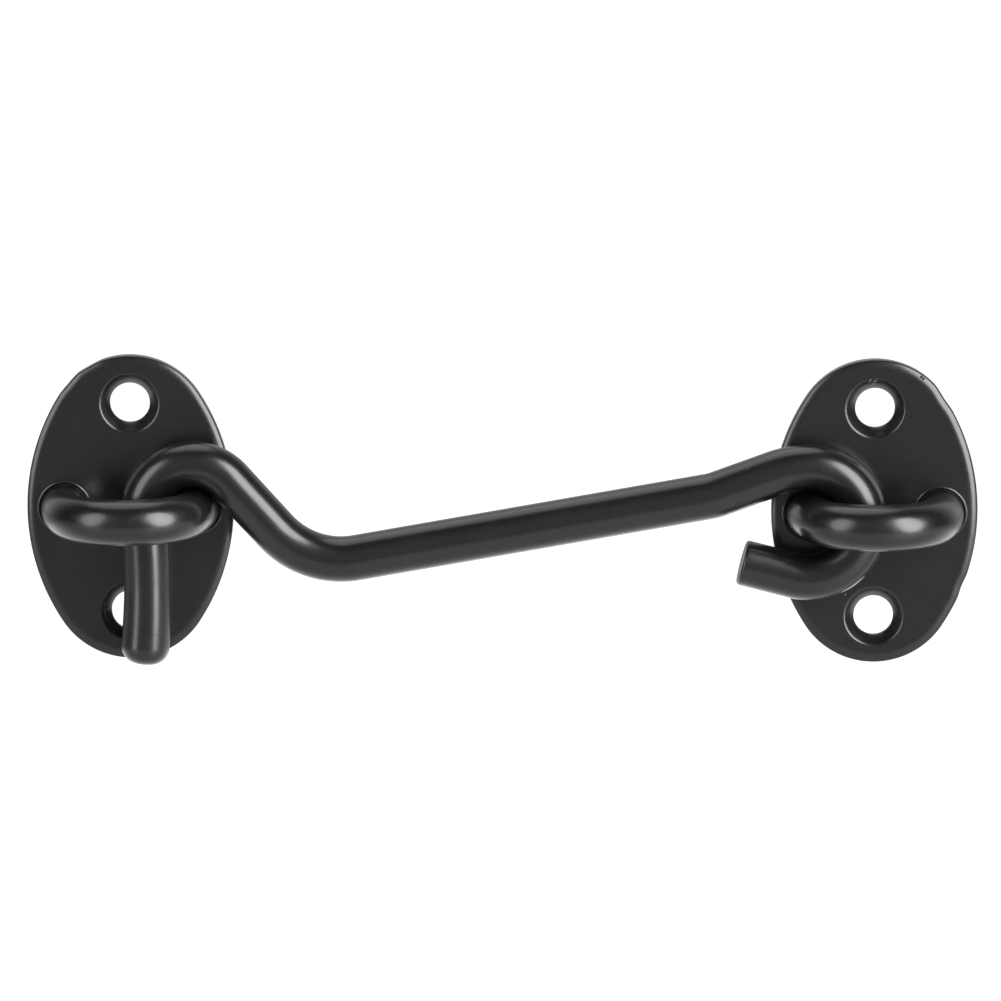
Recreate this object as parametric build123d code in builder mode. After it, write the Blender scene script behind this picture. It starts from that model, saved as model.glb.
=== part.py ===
"""Wire cabin hook: a bent bar that swings on one plate's staple and drops over another's."""

import os
from math import cos, radians, sqrt

from build123d import *

# Millimetres and degrees. The plates' backs lie in the XZ plane and their fronts face -Y, with
# Z up. The origin is on the pivot plate's back, in the middle of its holes.

# Wire of the bar and of both staples
wire_diameter = 6.0

# Countersunk screw holes, one above the other in each plate
screw_spacing = 27.5
screw_hole_diameter = 5.2
countersink_diameter = 7.7
countersink_angle = 90
countersink_rim_round = 0.6

# Staples: a crown on two legs, which lean out to their feet. Riveting over the feet in the
# plate's back swells them in their holes.
leg_spacing = 17.2
foot_reach = 0.3
foot_swell = 0.25
foot_recess = 0.1
foot_clearance = 0.1
leg_hole_round = 0.12
shoulder_radius = 19.6
shoulder_turn = 17
rivet_spread = 0.6
rivet_clearance = 0.1
rivet_recess = 0.05

# Oval plates, with some land left between the holes and the rounded edge. The pivot plate was
# cut out a little above its holes.
plate_thickness = 2.0
plate_edge_round = 1.2
plate_end_radius = 10.7
side_land = 0.35
end_land = 1.25
pivot_cut_up = 0.15

# Eye of the bar, which hangs a little low on the pivot staple's left leg, pulled to the catch
eye_play = 1.25
eye_pull = 0.42
eye_sag = 0.65
eye_end_slope = 14.5
eye_end_length = 7.15
eye_end_round = 0.4
plate_clearance = 0.25

# Run of the bar: down from the eye over the neck and shank, then up the ramp to the catch
lead_radius = 13.3
lead_turn = 19.5
neck_slope = 20
neck_length = 7.8
neck_radius = 8.0
shank_slope = 10
shank_length = 46.5
dip_radius = 11.5
ramp_slope = 48
ramp_length = 8.85

# Arch over the catch staple's right leg, and the tail, which bows to the right and swells to a
# rounded tip
arch_play = 0.45
arch_sag = 0.12
tail_lean_angle = 4.8
tail_bow_radius = 110.0
tail_tuck_turn = 5.3
tail_swell = 0.25
tail_tip_round = 2.5

wire_radius = wire_diameter / 2
foot_radius = wire_radius + foot_swell
leg_hole_radius = foot_radius + foot_clearance
rivet_radius = foot_radius + rivet_spread
plate_width = leg_spacing + 2 * (leg_hole_radius + side_land + plate_edge_round)
plate_height = screw_spacing + countersink_diameter + 2 * (end_land + plate_edge_round)
bar_height = plate_thickness + plate_clearance + tail_swell + wire_radius

# A staple's feet go over a gentle shoulder each into the crown. At the bar's height its legs
# stand a little closer together than its feet.
foot_top = plate_thickness + foot_reach
shoulder_shift = shoulder_radius * (1 - cos(radians(shoulder_turn)))
crown_radius = (leg_spacing / 2 - shoulder_shift) / cos(radians(shoulder_turn))
leg_shift = shoulder_radius - sqrt(shoulder_radius**2 - (bar_height - foot_top) ** 2)
leg_offset = leg_spacing / 2 - leg_shift

# The oval is two wide arcs that meet the end arcs tangentially.
end_reach = plate_height / 2 - plate_end_radius
side_reach = plate_width / 2 - plate_end_radius
side_offset = (end_reach**2 - side_reach**2) / (2 * side_reach)
side_radius = side_offset + plate_width / 2


def make_plate(label, x, z, cut_up=0):
    """Oval plate with its holes centred at x, z on its back."""
    back = Plane((x, 0, z), x_dir=(1, 0, 0), z_dir=(0, -1, 0))
    front = back.offset(plate_thickness)
    with BuildPart() as plate:
        with BuildSketch(back):
            with Locations((-side_offset, cut_up)):
                Circle(side_radius)
            with Locations((side_offset, cut_up)):
                Circle(side_radius, mode=Mode.INTERSECT)
            fillet(vertices(), plate_end_radius)
        extrude(amount=plate_thickness)
        fillet(plate.edges().group_by(Axis.Y)[0], plate_edge_round)
        # The legs' holes open out at the back for the riveted ends, which are 45 degree cones.
        with Locations(-back):
            with GridLocations(leg_spacing, 0, 2, 1):
                CounterSinkHole(
                    leg_hole_radius,
                    rivet_radius + rivet_clearance,
                    counter_sink_angle=90,
                )
        front_face = plate.faces().sort_by(Axis.Y)[0]
        fillet([rim.edge() for rim in front_face.inner_wires()], leg_hole_round)
        with Locations(front):
            with GridLocations(0, screw_spacing, 1, 2):
                CounterSinkHole(
                    screw_hole_diameter / 2,
                    countersink_diameter / 2,
                    counter_sink_angle=countersink_angle,
                )
        rims = plate.faces().sort_by(Axis.Y)[0].inner_wires().sort_by(Axis.Z)
        fillet([rims[0].edge(), rims[-1].edge()], countersink_rim_round)
    plate.part.label = label
    return plate.part


def make_staple(label, x, z):
    """Wire crown and legs for the plate with its holes centred at x, z."""
    back = Plane((x, 0, z), x_dir=(1, 0, 0), z_dir=(0, -1, 0))
    across = Plane((x, 0, z), x_dir=(1, 0, 0), z_dir=(0, 0, -1))
    half = leg_spacing / 2
    with BuildPart() as staple:
        with BuildLine(across) as wire:
            foot = Line((-half, rivet_recess), (-half, foot_top))
            shoulder = JernArc(foot @ 1, foot % 1, shoulder_radius, -shoulder_turn)
            crown = JernArc(shoulder @ 1, shoulder % 1, crown_radius, 2 * shoulder_turn - 180)
            far_shoulder = JernArc(crown @ 1, crown % 1, shoulder_radius, -shoulder_turn)
            Line(far_shoulder @ 1, (half, rivet_recess))
        with BuildSketch(Plane(foot @ 0, z_dir=foot % 0)):
            Circle(wire_radius)
        sweep(path=wire.line)
        # Each foot fills its hole up to a slope round the wire, and ends in the riveted cone.
        seat_height = plate_thickness - foot_recess - rivet_recess
        seat_align = (Align.CENTER, Align.CENTER, Align.MIN)
        with Locations(back.offset(rivet_recess)):
            with GridLocations(leg_spacing, 0, 2, 1):
                Cone(rivet_radius, foot_radius, rivet_spread, align=seat_align)
                Cylinder(foot_radius, seat_height, align=seat_align)
        with Locations(back.offset(rivet_recess + seat_height)):
            with GridLocations(leg_spacing, 0, 2, 1):
                Cone(foot_radius, wire_radius, foot_swell, align=seat_align)
    staple.part.label = label
    return staple.part


# The bar's centreline lies in one plane, just clear of the plates' fronts. Its eye and its arch
# both bend round a staple's leg of the same wire.
eye_centre = (-leg_offset - eye_pull, -eye_sag)
eye_turn = 180 + eye_end_slope + neck_slope - lead_turn
with BuildLine(Plane.XZ.offset(bar_height)) as centreline:
    eye = CenterArc(eye_centre, wire_diameter + eye_play, -90 - eye_end_slope, eye_turn)
    eye_end = PolarLine(eye @ 0, eye_end_length, 180 - eye_end_slope)
    lead = JernArc(eye @ 1, eye % 1, lead_radius, lead_turn)
    neck = PolarLine(lead @ 1, neck_length, direction=lead % 1)
    neck_bend = JernArc(neck @ 1, neck % 1, neck_radius, shank_slope - neck_slope)
    shank = PolarLine(neck_bend @ 1, shank_length, direction=neck_bend % 1)
    dip = JernArc(shank @ 1, shank % 1, dip_radius, -shank_slope - ramp_slope)
    ramp = PolarLine(dip @ 1, ramp_length, direction=dip % 1)
    arch = JernArc(ramp @ 1, ramp % 1, wire_diameter + arch_play, 90 + ramp_slope + tail_lean_angle)
    bow = JernArc(arch @ 1, arch % 1, tail_bow_radius, -tail_lean_angle)
with BuildLine(Plane.XZ.offset(bar_height)) as tail_line:
    tail = JernArc(bow @ 1, bow % 1, tail_bow_radius, -tail_tuck_turn)
cut_end = eye_end @ 1

with BuildPart() as hook_bar:
    with BuildSketch(Plane(cut_end, z_dir=eye @ 0 - cut_end)):
        Circle(wire_radius)
    sweep(path=centreline.line)
    with BuildSketch(Plane(tail @ 0, z_dir=tail % 0)) as tail_start:
        Circle(wire_radius)
    with BuildSketch(Plane(tail @ 1, z_dir=tail % 1)) as tail_end:
        Circle(wire_radius + tail_swell)
    sweep([tail_start.sketch, tail_end.sketch], path=tail_line.line, multisection=True)
    fillet(hook_bar.faces().sort_by_distance(tail @ 1)[0].edges(), tail_tip_round)
    fillet(hook_bar.faces().sort_by_distance(cut_end)[0].edges(), eye_end_round)
hook_bar.part.label = "hook_bar"

# The catch stands where the arch drops over its right leg.
catch_x = arch.arc_center.X - leg_offset
catch_z = arch.arc_center.Z + arch_sag

os.makedirs("parts", exist_ok=True)
export_step(make_plate("pivot_plate", 0, 0, pivot_cut_up), "parts/pivot_plate.step")
export_step(make_staple("pivot_staple", 0, 0), "parts/pivot_staple.step")
export_step(make_plate("catch_plate", catch_x, catch_z), "parts/catch_plate.step")
export_step(make_staple("catch_staple", catch_x, catch_z), "parts/catch_staple.step")
export_step(hook_bar.part, "parts/hook_bar.step")
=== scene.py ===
"""Cabin hook in black powder coat: a bent wire bar on two oval plates with wire staples."""

import math

import bmesh
import bpy
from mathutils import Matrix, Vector


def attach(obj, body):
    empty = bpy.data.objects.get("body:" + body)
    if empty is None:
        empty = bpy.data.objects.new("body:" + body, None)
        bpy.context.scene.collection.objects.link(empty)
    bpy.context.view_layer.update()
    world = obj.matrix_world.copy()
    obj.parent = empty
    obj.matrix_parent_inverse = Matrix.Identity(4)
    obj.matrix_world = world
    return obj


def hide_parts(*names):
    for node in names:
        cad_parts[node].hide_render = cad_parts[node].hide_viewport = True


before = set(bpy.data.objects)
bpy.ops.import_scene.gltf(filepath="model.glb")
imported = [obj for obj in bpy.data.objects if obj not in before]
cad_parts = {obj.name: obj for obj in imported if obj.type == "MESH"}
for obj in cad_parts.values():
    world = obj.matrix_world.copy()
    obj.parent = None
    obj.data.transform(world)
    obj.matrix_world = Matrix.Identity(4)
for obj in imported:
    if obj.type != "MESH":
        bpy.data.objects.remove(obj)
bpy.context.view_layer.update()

# Millimetres and degrees. The plates lie in XZ with their fronts towards -Y, as in the CAD. Most
# sizes are the CAD's; press, riveting and coat change edges, holes, feet and tip by up to 0.2 mm.
MM = 0.001

# Outer faces stay a hair inside the CAD's facets.
hair = 0.009

# Wire of the bar and of both staples, and how finely it is drawn
wire_radius = 3.0 - hair
wire_sides = 80
wire_step = 0.4
least_step = 0.1
corner_rings = 15

# Staples: a crown on two legs, which lean out to their feet and are riveted in the plate's back
leg_spacing = 17.2
foot_top = 2.3
foot_radius = 3.19
foot_rings = 40
shoulder_radius = 19.6
shoulder_turn = 17
rivet_recess = 0.05
rivet_radius = 3.85
rivet_rim = 0.12

# Oval plates, rolled over at the front by the press
plate_thickness = 2.0
plate_width = 27.0
plate_height = 40.1
plate_end_radius = 10.7
edge_roll_radius = 2.1
edge_roll_turn = 31
edge_corner = 0.35
edge_break = 0.12
edge_points = 90

# Countersunk screw holes, and the holes for the legs, with a lip thrown up by the riveting
screw_spacing = 27.5
screw_hole_radius = 2.6
screw_hole_corner = 0.06
screw_hole_break = 0.1
countersink_radius = 3.85
countersink_slope = 45
countersink_rim_round = 0.6
leg_hole_radius = 3.22
leg_lip_height = 0.08
leg_lip_width = 0.33
leg_lip_round = 0.14
leg_lip_rings = 12
rivet_seat_radius = 3.95
rivet_seat_corner = 0.05
hole_points = 96

# Narrow band of the flats that is drawn with an edge or a hole, so that its shading runs out flat
land = 0.03

# Middle of the pivot plate's holes, and how far up from its holes each plate was cut out
pivot_centre = (0.0, 0.0)
pivot_cut_up = 0.15
catch_cut_up = 0.0

# Shallow dents in the plates' edges: where from the middle of the holes, reach and depth
pivot_dents = ((9.2, 15.2, 2.4, 0.16), (11.7, -9.8, 1.8, 0.14))
catch_dents = ((-8.0, 16.2, 2.2, 0.12), (-5.2, 18.7, 2.2, 0.1))

# Eye of the bar, which hangs a little low on the pivot staple's left leg, pulled to the catch
bar_height = 5.5
eye_radius = 7.25
eye_pull = 0.42
eye_sag = 0.65
eye_end_slope = 14.5
eye_end_length = 7.15
eye_end_round = 0.4

# Run of the bar: down from the eye over the neck and shank, then up the ramp to the catch
lead_radius = 13.3
lead_turn = 19.5
neck_slope = 20
neck_length = 7.8
neck_radius = 8.0
shank_slope = 10
shank_length = 46.5
dip_radius = 11.5
ramp_slope = 48
ramp_length = 8.85

# Arch over the catch staple's right leg, and the tail, which swells to a rounded tip
arch_radius = 6.45
arch_sag = 0.12
tail_lean_angle = 4.8
tail_bow_radius = 110.0
tail_tuck_turn = 5.3
tail_swell = 0.25
tail_tip_round = 2.4

# Coat: waves of peel, a grain, nibs of powder and soft patches
peel_width, peel_depth = 0.9, 0.004
grain_width, grain_depth = 0.22, 0.0016
nib_spacing, nib_depth = 2.6, 0.05
patch_width = 9

# Larger nibs and blobs, at places that show: where, and how wide
coat_blobs = (
    (-0.81, -1.95, 17.52, 0.3),
    (-0.12, -1.9, 17.54, 0.36),
    (-0.28, -1.5, 17.05, 0.26),
    (-16.89, -7.53, 6.86, 0.24),
    (-3.86, -2.0, -10.85, 0.2),
    (5.95, -1.78, 17.94, 0.2),
    (6.21, -1.76, 17.7, 0.2),
)

# Camera and lamps look at the middle of the hook, and the picture's middle is a little off it.
hook_middle = Vector((-48.7, -2.0, 0.55))
picture_left, picture_up = 0.222, 1.111
camera_tilt = 9.5
camera_distance = 900
camera_lens = 247.6

# At the bar's height a staple's legs stand a little closer together than its feet.
leg_shift = shoulder_radius - math.sqrt(shoulder_radius**2 - (bar_height - foot_top) ** 2)
leg_offset = leg_spacing / 2 - leg_shift
eye_centre = (-leg_offset - eye_pull, -eye_sag)


def linear(code):
    """Linear colour of an sRGB hex code."""
    parts = [int(code[i : i + 2], 16) / 255 for i in (1, 3, 5)]
    return [p / 12.92 if p <= 0.04045 else ((p + 0.055) / 1.055) ** 2.4 for p in parts] + [1.0]


def add(tree, kind, sockets=None, **settings):
    """Adds a node with its settings; each socket takes a value or another node's output."""
    node = tree.nodes.new(kind)
    for name, value in settings.items():
        setattr(node, name, value)
    for name, value in (sockets or {}).items():
        if isinstance(value, bpy.types.NodeSocket):
            tree.links.new(value, node.inputs[name])
        else:
            node.inputs[name].default_value = value
    return node


def feature(size):
    """Texture scale at which a pattern's features are about this many millimetres across."""
    return 1 / (size * MM)


def nib_heights(tree, place):
    """Heights of the nibs that stand up under the coat: small ones all over, and the blobs."""
    nib = add(
        tree,
        "ShaderNodeTexVoronoi",
        {"Vector": place, "Scale": feature(nib_spacing), "Randomness": 1.0},
    )
    heights = add(
        tree,
        "ShaderNodeMapRange",
        {
            "Value": nib.outputs["Distance"],
            "From Min": 0.0,
            "From Max": 0.07,
            "To Min": 0.3,
            "To Max": 0.0,
        },
        interpolation_type="SMOOTHSTEP",
    ).outputs["Result"]
    for *middle, width in coat_blobs:
        away = add(
            tree,
            "ShaderNodeVectorMath",
            {0: place, 1: [m * MM for m in middle]},
            operation="DISTANCE",
        ).outputs["Value"]
        blob = add(
            tree,
            "ShaderNodeMapRange",
            {"Value": away, "From Max": width * MM, "To Min": 2.0, "To Max": 0.0},
            interpolation_type="SMOOTHSTEP",
        ).outputs["Result"]
        heights = add(
            tree, "ShaderNodeMath", {0: heights, 1: blob}, operation="MAXIMUM"
        ).outputs[0]
    return heights


def black_powder_coat():
    """Satin black powder, sprayed on steel and baked: the eye sees soft lamps in a faint peel."""
    material = bpy.data.materials.new("black_powder_coat")
    material.use_nodes = True
    tree = material.node_tree
    shader = tree.nodes["Principled BSDF"]
    place = add(tree, "ShaderNodeTexCoord").outputs["Object"]
    # The melted powder sets in shallow waves, with a fine grain over them.
    peel = add(
        tree,
        "ShaderNodeTexNoise",
        {"Vector": place, "Scale": feature(peel_width), "Detail": 1.0, "Roughness": 0.4},
    ).outputs["Fac"]
    # A real grain is some 0.05 mm; it is drawn coarser so that it shows at this size.
    grain = add(
        tree,
        "ShaderNodeTexNoise",
        {"Vector": place, "Scale": feature(grain_width), "Detail": 2.0, "Roughness": 0.6},
    ).outputs["Fac"]
    relief = add(
        tree, "ShaderNodeBump", {"Strength": 1.0, "Distance": peel_depth * MM, "Height": peel}
    ).outputs["Normal"]
    for height, depth in ((grain, grain_depth), (nib_heights(tree, place), nib_depth)):
        relief = add(
            tree,
            "ShaderNodeBump",
            {"Strength": 1.0, "Distance": depth * MM, "Height": height, "Normal": relief},
        ).outputs["Normal"]
    # The powder lies a little unevenly, in soft patches.
    patches = add(
        tree,
        "ShaderNodeTexNoise",
        {"Vector": place, "Scale": feature(patch_width), "Detail": 2.0, "Roughness": 0.5},
    ).outputs["Fac"]
    mottle = add(tree, "ShaderNodeMath", {0: grain, 1: patches}, operation="ADD").outputs[0]
    share = add(
        tree, "ShaderNodeMapRange", {"Value": mottle, "From Min": 0.7, "From Max": 1.3}
    ).outputs["Result"]
    # The mix's sockets share their names over the kinds of data, so they go by number.
    tone = add(
        tree,
        "ShaderNodeMix",
        {0: share, 6: linear("#0b0b0c"), 7: linear("#19191a")},
        data_type="RGBA",
    ).outputs[2]
    gloss = add(
        tree,
        "ShaderNodeMapRange",
        {"Value": peel, "From Min": 0.3, "From Max": 0.7, "To Min": 0.28, "To Max": 0.34},
    ).outputs["Result"]
    shader.inputs["Coat Weight"].default_value = 1.0
    shader.inputs["Coat Roughness"].default_value = 0.22
    shader.inputs["Coat IOR"].default_value = 1.5
    tree.links.new(relief, shader.inputs["Coat Normal"])
    tree.links.new(tone, shader.inputs["Base Color"])
    tree.links.new(gloss, shader.inputs["Roughness"])
    tree.links.new(relief, shader.inputs["Normal"])
    return material


def wire_tree():
    """Geometry nodes that sweep a round section along a centreline, as thick as it says."""
    tree = bpy.data.node_groups.new("bent_wire", "GeometryNodeTree")
    sockets = tree.interface
    sockets.new_socket("Centreline", in_out="INPUT", socket_type="NodeSocketGeometry")
    sockets.new_socket("Sides", in_out="INPUT", socket_type="NodeSocketInt")
    sockets.new_socket("Finish", in_out="INPUT", socket_type="NodeSocketMaterial")
    sockets.new_socket("Wire", in_out="OUTPUT", socket_type="NodeSocketGeometry")
    given = tree.nodes.new("NodeGroupInput").outputs
    path = add(tree, "GeometryNodeMeshToCurve", {"Mesh": given["Centreline"]})
    section = add(
        tree, "GeometryNodeCurvePrimitiveCircle", {"Resolution": given["Sides"], "Radius": 1.0}
    )
    thickness = add(
        tree, "GeometryNodeInputNamedAttribute", {"Name": "thickness"}, data_type="FLOAT"
    )
    sweep = add(
        tree,
        "GeometryNodeCurveToMesh",
        {
            "Curve": path.outputs["Curve"],
            "Profile Curve": section.outputs["Curve"],
            "Scale": thickness.outputs["Attribute"],
            "Fill Caps": True,
        },
    )
    smooth = add(tree, "GeometryNodeSetShadeSmooth", {"Geometry": sweep.outputs["Mesh"]})
    real = add(tree, "GeometryNodeRealizeInstances", {"Geometry": smooth.outputs["Geometry"]})
    coated = add(
        tree,
        "GeometryNodeSetMaterial",
        {"Geometry": real.outputs["Geometry"], "Material": given["Finish"]},
    )
    tree.nodes.new("NodeGroupOutput")
    tree.links.new(coated.outputs["Geometry"], tree.nodes["Group Output"].inputs["Wire"])
    return tree


def polar(start, angle, distance):
    """Point at an angle and a distance from another."""
    turn = math.radians(angle)
    return start[0] + distance * math.cos(turn), start[1] + distance * math.sin(turn)


def bend(radius, turn):
    """Run of a wire bent to a radius through a turn."""
    return radius * math.radians(abs(turn)), turn


def point_along(start, heading, runs, distance):
    """Point of a wire at a distance from its start. A run is a length and the turn over it."""
    u, v = start
    for length, turn in runs:
        part = min(distance, length)
        turned = math.radians(turn) * part / length
        middle = math.radians(heading) + turned / 2
        chord = part * (math.sin(turned / 2) / (turned / 2) if turned else 1)
        u += chord * math.cos(middle)
        v += chord * math.sin(middle)
        heading += turn * part / length
        distance -= part
        if distance <= 0:
            break
    return u, v


# The bar's wire, from its cut end round the eye to the foot of the arch, and on to the tail's tip
cut_end = polar(
    polar(eye_centre, -90 - eye_end_slope, eye_radius), 180 - eye_end_slope, eye_end_length
)
runs_to_arch = [
    (eye_end_length, 0),
    bend(eye_radius, 180 + eye_end_slope + neck_slope - lead_turn),
    bend(lead_radius, lead_turn),
    (neck_length, 0),
    bend(neck_radius, shank_slope - neck_slope),
    (shank_length, 0),
    bend(dip_radius, -shank_slope - ramp_slope),
    (ramp_length, 0),
]
runs_to_tip = [
    bend(arch_radius, 90 + ramp_slope + tail_lean_angle),
    bend(tail_bow_radius, -tail_lean_angle),
    bend(tail_bow_radius, -tail_tuck_turn),
]

# The catch stands where the arch drops over its right leg.
arch_foot = point_along(cut_end, -eye_end_slope, runs_to_arch, math.inf)
arch_centre = polar(arch_foot, 270 - ramp_slope, arch_radius)
catch_centre = (arch_centre[0] - leg_offset, arch_centre[1] + arch_sag)


def rounded(distance, radius, corner):
    """Radius of a round end at a distance from its face, with its corner rounded off."""
    if distance >= corner:
        return radius
    return radius - corner + math.sqrt(corner**2 - (corner - max(0, distance)) ** 2)


def corner_steps(corner):
    """Distances from a round end's face at which its rounded corner is drawn."""
    turns = [math.radians(90 * i / corner_rings) for i in range(1, corner_rings + 1)]
    return [corner * (1 - math.cos(t)) for t in turns]


def bent_wire(name, place, start, heading, runs, end_steps, radius_at):
    """Wire of straight and bent runs, laid out in a plane, with extra steps near its ends."""
    total = sum(length for length, turn in runs)
    steps = round(total / wire_step)
    extra = end_steps[0] + [total - s for s in end_steps[1]]
    # Even steps that fall beside an extra one are left out, so that no ring is crushed.
    even = [total * i / steps for i in range(1, steps)]
    even = [s for s in even if min(abs(s - e) for e in extra) > least_step]
    stations = sorted([0, total] + even + extra)
    points = [place(*point_along(start, heading, runs, s)) for s in stations]
    mesh = bpy.data.meshes.new(name)
    mesh.from_pydata(
        [Vector(p) * MM for p in points], [(i, i + 1) for i in range(len(points) - 1)], []
    )
    thickness = mesh.attributes.new("thickness", "FLOAT", "POINT")
    thickness.data.foreach_set("value", [radius_at(s, total - s) * MM for s in stations])
    piece = bpy.data.objects.new(name, mesh)
    bpy.context.collection.objects.link(piece)
    sweep = piece.modifiers.new("bent_wire", "NODES")
    sweep.node_group = bent_wire_tree
    inputs = {s.name: s.identifier for s in bent_wire_tree.interface.items_tree}
    sweep[inputs["Sides"]] = wire_sides
    sweep[inputs["Finish"]] = coat
    shown = piece.evaluated_get(bpy.context.evaluated_depsgraph_get())
    piece.data = bpy.data.meshes.new_from_object(shown)
    piece.data.name = name
    piece.modifiers.clear()
    return piece


def staple(name, centre):
    """Wire crown and legs, whose feet fill their holes and are spread in the plate's back."""
    half = leg_spacing / 2
    lean = math.radians(shoulder_turn)
    crown_radius = (half - shoulder_radius * (1 - math.cos(lean))) / math.cos(lean)
    foot = (foot_top - rivet_recess, 0)
    shoulder = bend(shoulder_radius, -shoulder_turn)
    seat = plate_thickness - rivet_recess
    slope = foot_radius - wire_radius
    foot_steps = [foot_top * i / foot_rings for i in range(1, foot_rings + 1)]

    def radius_at(from_start, to_end):
        end = min(from_start, to_end)
        # The coat fills the hole round the foot, and rounds off into the wire.
        above = max(0, end - seat) / slope
        swollen = wire_radius + slope * max(0, 1 - above / 2) ** 2 - hair
        rivet = min(rivet_radius - end, rivet_radius - rivet_rim + end)
        return max(wire_radius, min(swollen, foot_radius - hair), rivet)

    return bent_wire(
        name,
        lambda u, v: (centre[0] + u, -v, centre[1]),
        (-half, rivet_recess),
        90,
        [foot, shoulder, bend(crown_radius, 2 * shoulder_turn - 180), shoulder, foot],
        [foot_steps, foot_steps],
        radius_at,
    )


def bar():
    """Bar with the open eye at one end, and the arch and swollen tail at the other."""
    tail_length = runs_to_tip[-1][0]

    def radius_at(from_start, to_end):
        if from_start < eye_end_round:
            return rounded(from_start, wire_radius, eye_end_round)
        swell = tail_swell * max(0, 1 - to_end / tail_length)
        return rounded(to_end, wire_radius + swell, tail_tip_round)

    return bent_wire(
        "bent_hook_bar",
        lambda u, v: (u, -bar_height, v),
        cut_end,
        -eye_end_slope,
        runs_to_arch + runs_to_tip,
        [corner_steps(eye_end_round), corner_steps(tail_tip_round)],
        radius_at,
    )


def oval_outline(count):
    """Points of the plate's outline about its centre, with their outward directions."""
    end_reach = plate_height / 2 - plate_end_radius
    side_reach = plate_width / 2 - plate_end_radius
    side_offset = (end_reach**2 - side_reach**2) / (2 * side_reach)
    side_radius = side_offset + plate_width / 2
    meet = math.atan2(end_reach, side_offset)
    side_length = side_radius * meet
    end_length = plate_end_radius * (math.pi / 2 - meet)
    outline = []
    for quarter in range(4):
        for i in range(count):
            # Points are spread evenly over half a side arc and half an end arc.
            reach = (side_length + end_length) * i / count
            if quarter % 2:
                reach = side_length + end_length - reach
            if reach < side_length:
                turn = reach / side_radius
                x = side_radius * math.cos(turn) - side_offset
                z = side_radius * math.sin(turn)
            else:
                turn = meet + (reach - side_length) / plate_end_radius
                x = plate_end_radius * math.cos(turn)
                z = end_reach + plate_end_radius * math.sin(turn)
            flip_x = -1 if quarter in (1, 2) else 1
            flip_z = -1 if quarter in (2, 3) else 1
            out = (flip_x * math.cos(turn), flip_z * math.sin(turn))
            outline.append(((flip_x * x, flip_z * z), out))
    return outline


def dented_outline(cut_up, dents):
    """Plate's outline about the middle of its holes, pushed in where it was dented."""
    outline = []
    for (x, z), out in oval_outline(edge_points):
        z += cut_up
        for dent_x, dent_z, reach, depth in dents:
            away = math.hypot(x - dent_x, z - dent_z) / reach
            push = depth * max(0, 1 - away**2) ** 2
            x, z = x - out[0] * push, z - out[1] * push
        outline.append(((x, z), out))
    return outline


def circle(x, z, count):
    """Points on a hole's axis, with directions all round it."""
    turns = [2 * math.pi * i / count for i in range(count)]
    return [((x, z), (math.cos(t), math.sin(t))) for t in turns]


def arc_profile(offset, depth, radius, first, last, side=1, steps=10):
    """Offsets and depths of a convex corner from one slope to another, by its start."""
    turns = [math.radians(first + (last - first) * i / steps) for i in range(steps + 1)]
    return [
        (
            offset + side * radius * (math.sin(t) - math.sin(turns[0])),
            depth + radius * (math.cos(turns[0]) - math.cos(t)),
        )
        for t in turns
    ]


def edge_profile(front):
    """Plate's edge: the press rolls the front over to a slope, which breaks off to the cut wall."""
    tip = math.sin(math.radians(edge_roll_turn))
    start = -hair - edge_roll_radius * tip - edge_corner * (1 - tip)
    edge = [(start - land, front)]
    edge += arc_profile(start, front, edge_roll_radius, 0, edge_roll_turn)
    edge += arc_profile(*edge[-1], edge_corner, edge_roll_turn, 90)[1:]
    edge += [
        (-hair, -edge_break),
        (-edge_break / 3, -edge_break / 3),
        (-edge_break, 0),
        (-edge_break - land, 0),
    ]
    return edge


def screw_hole_profile(front):
    """Screw hole, whose cone meets the front in a rim rounded by the coat."""
    top = countersink_radius + countersink_rim_round * math.tan(math.radians(countersink_slope / 2))
    foot = front + countersink_radius - screw_hole_radius
    hole = [(top + land, front)]
    hole += arc_profile(top, front, countersink_rim_round, 0, countersink_slope, -1)
    hole += [
        (screw_hole_radius + screw_hole_corner, foot - screw_hole_corner),
        (screw_hole_radius, foot + screw_hole_corner),
        (screw_hole_radius, -screw_hole_break),
        (screw_hole_radius + screw_hole_break, 0),
        (screw_hole_radius + screw_hole_break + land, 0),
    ]
    return hole


def leg_hole_profile(front):
    """Leg's hole, from the low lip that riveting throws up to the rivet's seat in the back."""
    toe, crest = leg_hole_radius + leg_lip_width, leg_hole_radius + leg_lip_round
    seat = rivet_seat_radius - leg_hole_radius
    hole = [(toe + land, front)]
    for i in range(leg_lip_rings + 1):
        rise = leg_lip_height * (1 - math.cos(math.pi * i / leg_lip_rings)) / 2
        hole.append((toe + (crest - toe) * i / leg_lip_rings, front - rise))
    hole += arc_profile(crest, front - leg_lip_height, leg_lip_round, 0, 90, -1)[1:]
    hole += [
        (leg_hole_radius, -seat - rivet_seat_corner),
        (leg_hole_radius + rivet_seat_corner, -seat + rivet_seat_corner),
        (rivet_seat_radius, 0),
        (rivet_seat_radius + land, 0),
    ]
    return hole


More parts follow.
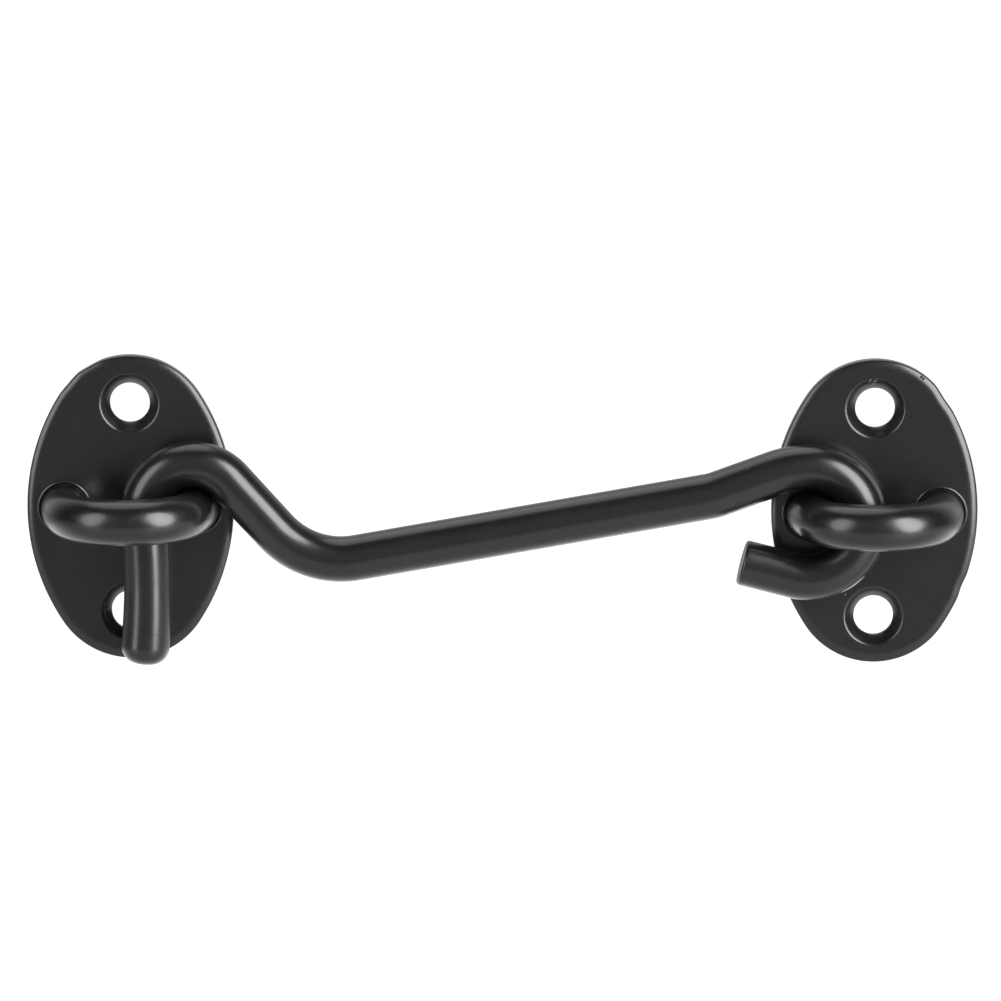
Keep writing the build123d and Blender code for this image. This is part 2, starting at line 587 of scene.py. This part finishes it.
def oval_plate(name, centre, cut_up, dents):
    """Pressed plate with a rolled, dented edge, countersunk screw holes and the legs' holes."""
    shape = bmesh.new()
    front = -plate_thickness

    def band(loop, profile):
        """Rings of a profile of offsets and depths round a loop; the first and last ring."""
        rings = [
            [
                shape.verts.new(
                    (
                        (centre[0] + p[0] + out[0] * offset) * MM,
                        depth * MM,
                        (centre[1] + p[1] + out[1] * offset) * MM,
                    )
                )
                for p, out in loop
            ]
            for offset, depth in profile
        ]
        for a, b in zip(rings, rings[1:]):
            for i in range(len(a)):
                shape.faces.new((a[i - 1], a[i], b[i], b[i - 1])).smooth = True
        return rings[0], rings[-1]

    ends = [band(dented_outline(cut_up, dents), edge_profile(front))]
    for side in (-1, 1):
        screw_hole = circle(0, side * screw_spacing / 2, hole_points)
        ends.append(band(screw_hole, screw_hole_profile(front)))
    for side in (-1, 1):
        leg_hole = circle(side * leg_spacing / 2, 0, hole_points)
        ends.append(band(leg_hole, leg_hole_profile(front)))

    # The flat front and back are filled between the edge's ring and the holes' rings.
    for rings in zip(*ends):
        rims = [
            shape.edges.get((ring[i - 1], ring[i])) for ring in rings for i in range(len(ring))
        ]
        filled = bmesh.ops.triangle_fill(shape, use_beauty=True, use_dissolve=False, edges=rims)
        for flat in filled["geom"]:
            if isinstance(flat, bmesh.types.BMFace):
                flat.smooth = False
    bmesh.ops.recalc_face_normals(shape, faces=shape.faces)
    mesh = bpy.data.meshes.new(name)
    shape.to_mesh(mesh)
    shape.free()
    mesh.materials.append(coat)
    piece = bpy.data.objects.new(name, mesh)
    bpy.context.collection.objects.link(piece)
    return piece


coat = black_powder_coat()
bent_wire_tree = wire_tree()

for piece, node, body in (
    (bar(), "hook_bar", "hook"),
    (staple("wire_pivot_staple", pivot_centre), "pivot_staple", "plates"),
    (staple("wire_catch_staple", catch_centre), "catch_staple", "plates"),
    (
        oval_plate("oval_pivot_plate", pivot_centre, pivot_cut_up, pivot_dents),
        "pivot_plate",
        "plates",
    ),
    (
        oval_plate("oval_catch_plate", catch_centre, catch_cut_up, catch_dents),
        "catch_plate",
        "plates",
    ),
):
    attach(piece, body)
    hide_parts(node)


def floor_material(under_hook):
    """Pale satin floor, lifted to white for the camera and in the coat's reflections."""
    material = bpy.data.materials.new("pale_studio_floor")
    material.use_nodes = True
    tree = material.node_tree
    tree.nodes.clear()
    seen = add(tree, "ShaderNodeLightPath").outputs
    mirrored = add(
        tree,
        "ShaderNodeMath",
        {0: seen["Is Glossy Ray"], 1: seen["Is Transmission Ray"]},
        operation="MAXIMUM",
    ).outputs[0]
    # Only the floor behind the object is the picture's white ground, and the coat mirrors the
    # near part of it.
    place = add(tree, "ShaderNodeTexCoord").outputs["Object"]
    depth = add(tree, "ShaderNodeSeparateXYZ", {"Vector": place}).outputs["Y"]
    ground = add(
        tree,
        "ShaderNodeMapRange",
        {"Value": depth, "From Min": -0.05, "From Max": 0.2, "To Min": 0.0, "To Max": 0.85},
        interpolation_type="SMOOTHSTEP",
    ).outputs["Result"]
    away = add(
        tree, "ShaderNodeVectorMath", {0: place, 1: under_hook}, operation="DISTANCE"
    ).outputs["Value"]
    near_part = add(
        tree,
        "ShaderNodeMapRange",
        {"Value": away, "From Min": 0.25, "From Max": 0.5, "To Min": 1.0, "To Max": 0.1},
        interpolation_type="SMOOTHSTEP",
    ).outputs["Result"]
    mirrored = add(
        tree, "ShaderNodeMath", {0: mirrored, 1: near_part}, operation="MULTIPLY"
    ).outputs[0]
    shown = add(
        tree, "ShaderNodeMath", {0: seen["Is Camera Ray"], 1: mirrored}, operation="MAXIMUM"
    ).outputs[0]
    lift = add(tree, "ShaderNodeMath", {0: shown, 1: ground}, operation="MULTIPLY").outputs[0]
    satin = add(
        tree,
        "ShaderNodeBsdfPrincipled",
        {
            "Base Color": linear("#d2d2d0"),
            "Roughness": 0.4,
            "Emission Color": linear("#ffffff"),
            "Emission Strength": lift,
        },
    ).outputs["BSDF"]
    add(tree, "ShaderNodeOutputMaterial", {"Surface": satin})
    return material


def pale_floor():
    """Studio floor, in metres, from a little before the hook to far behind it."""
    left, right, near, far, level = -4.0, 4.0, -0.37, 4.0, -0.12
    mesh = bpy.data.meshes.new("studio_floor")
    mesh.from_pydata(
        [(left, near, level), (right, near, level), (right, far, level), (left, far, level)],
        [],
        [(0, 1, 2, 3)],
    )
    mesh.materials.append(floor_material((hook_middle.x * MM, 0.0, level)))
    floor = bpy.data.objects.new("studio_floor", mesh)
    bpy.context.collection.objects.link(floor)


def studio_world():
    """Studio that is bright behind the object and dim beside it and on the camera's side."""
    world = bpy.data.worlds.new("studio")
    world.use_nodes = True
    tree = world.node_tree
    background = tree.nodes["Background"]
    way = add(tree, "ShaderNodeTexCoord").outputs["Generated"]
    depth = add(tree, "ShaderNodeSeparateXYZ", {"Vector": way}).outputs["Y"]
    walls = add(
        tree, "ShaderNodeMapRange", {"Value": depth, "From Min": -1.0, "From Max": 1.0}
    ).outputs["Result"]
    # Grey levels from the camera's side, past the dim sides, to the bright wall behind
    wall_levels = ((0.0, 0.22), (0.3, 0.05), (0.6, 0.05), (0.88, 0.45))
    levels = add(tree, "ShaderNodeValToRGB", {"Fac": walls})
    ramp = levels.color_ramp
    ramp.interpolation = "EASE"
    while len(ramp.elements) < len(wall_levels):
        ramp.elements.new(0.5)
    for stop, (where, grey) in zip(ramp.elements, wall_levels):
        stop.position = where
        stop.color = (grey, grey, grey, 1)
    # The camera itself sees a white wall.
    seen = add(tree, "ShaderNodeLightPath").outputs["Is Camera Ray"]
    strength = add(
        tree, "ShaderNodeMath", {0: levels.outputs["Color"], 1: seen}, operation="MAXIMUM"
    ).outputs[0]
    tree.links.new(strength, background.inputs["Strength"])
    background.inputs["Color"].default_value = linear("#ffffff")
    bpy.context.scene.world = world


def soft_box(name, yaw, elevation, width, height, power):
    """Round soft box one metre from the hook, turned to it; yaw is from the front to the right."""
    yaw, elevation = math.radians(yaw), math.radians(elevation)
    way = Vector(
        (
            math.sin(yaw) * math.cos(elevation),
            -math.cos(yaw) * math.cos(elevation),
            math.sin(elevation),
        )
    )
    data = bpy.data.lights.new(name, "AREA")
    data.shape = "ELLIPSE"
    data.size = width
    data.size_y = height
    data.energy = power
    lamp = bpy.data.objects.new(name, data)
    lamp.location = hook_middle * MM + way
    lamp.rotation_euler = (-way).to_track_quat("-Z", "Y").to_euler()
    lamp.visible_camera = False
    bpy.context.collection.objects.link(lamp)


def studio_camera():
    """Long lens, square to the plates and a little above them, on the middle of the picture."""
    tilt = math.radians(camera_tilt)
    forward = Vector((0, math.cos(tilt), -math.sin(tilt)))
    upward = Vector((0, math.sin(tilt), math.cos(tilt)))
    middle = hook_middle - Vector((picture_left, 0, 0)) + picture_up * upward
    data = bpy.data.cameras.new("camera")
    data.lens = camera_lens
    data.sensor_width = 36
    data.clip_end = 50
    camera = bpy.data.objects.new("camera", data)
    camera.location = (middle - camera_distance * forward) * MM
    camera.rotation_euler = (math.pi / 2 - tilt, 0, 0)
    bpy.context.collection.objects.link(camera)
    bpy.context.scene.camera = camera


pale_floor()
studio_world()
soft_box("right_soft_box", yaw=47, elevation=19, width=0.66, height=1.3, power=13.4)
soft_box("left_soft_box", yaw=-51, elevation=17, width=0.53, height=1.1, power=3.9)
soft_box("overhead_soft_box", yaw=-155, elevation=74, width=0.8, height=0.8, power=1.6)
studio_camera()
bpy.context.scene.view_settings.view_transform = "Standard"
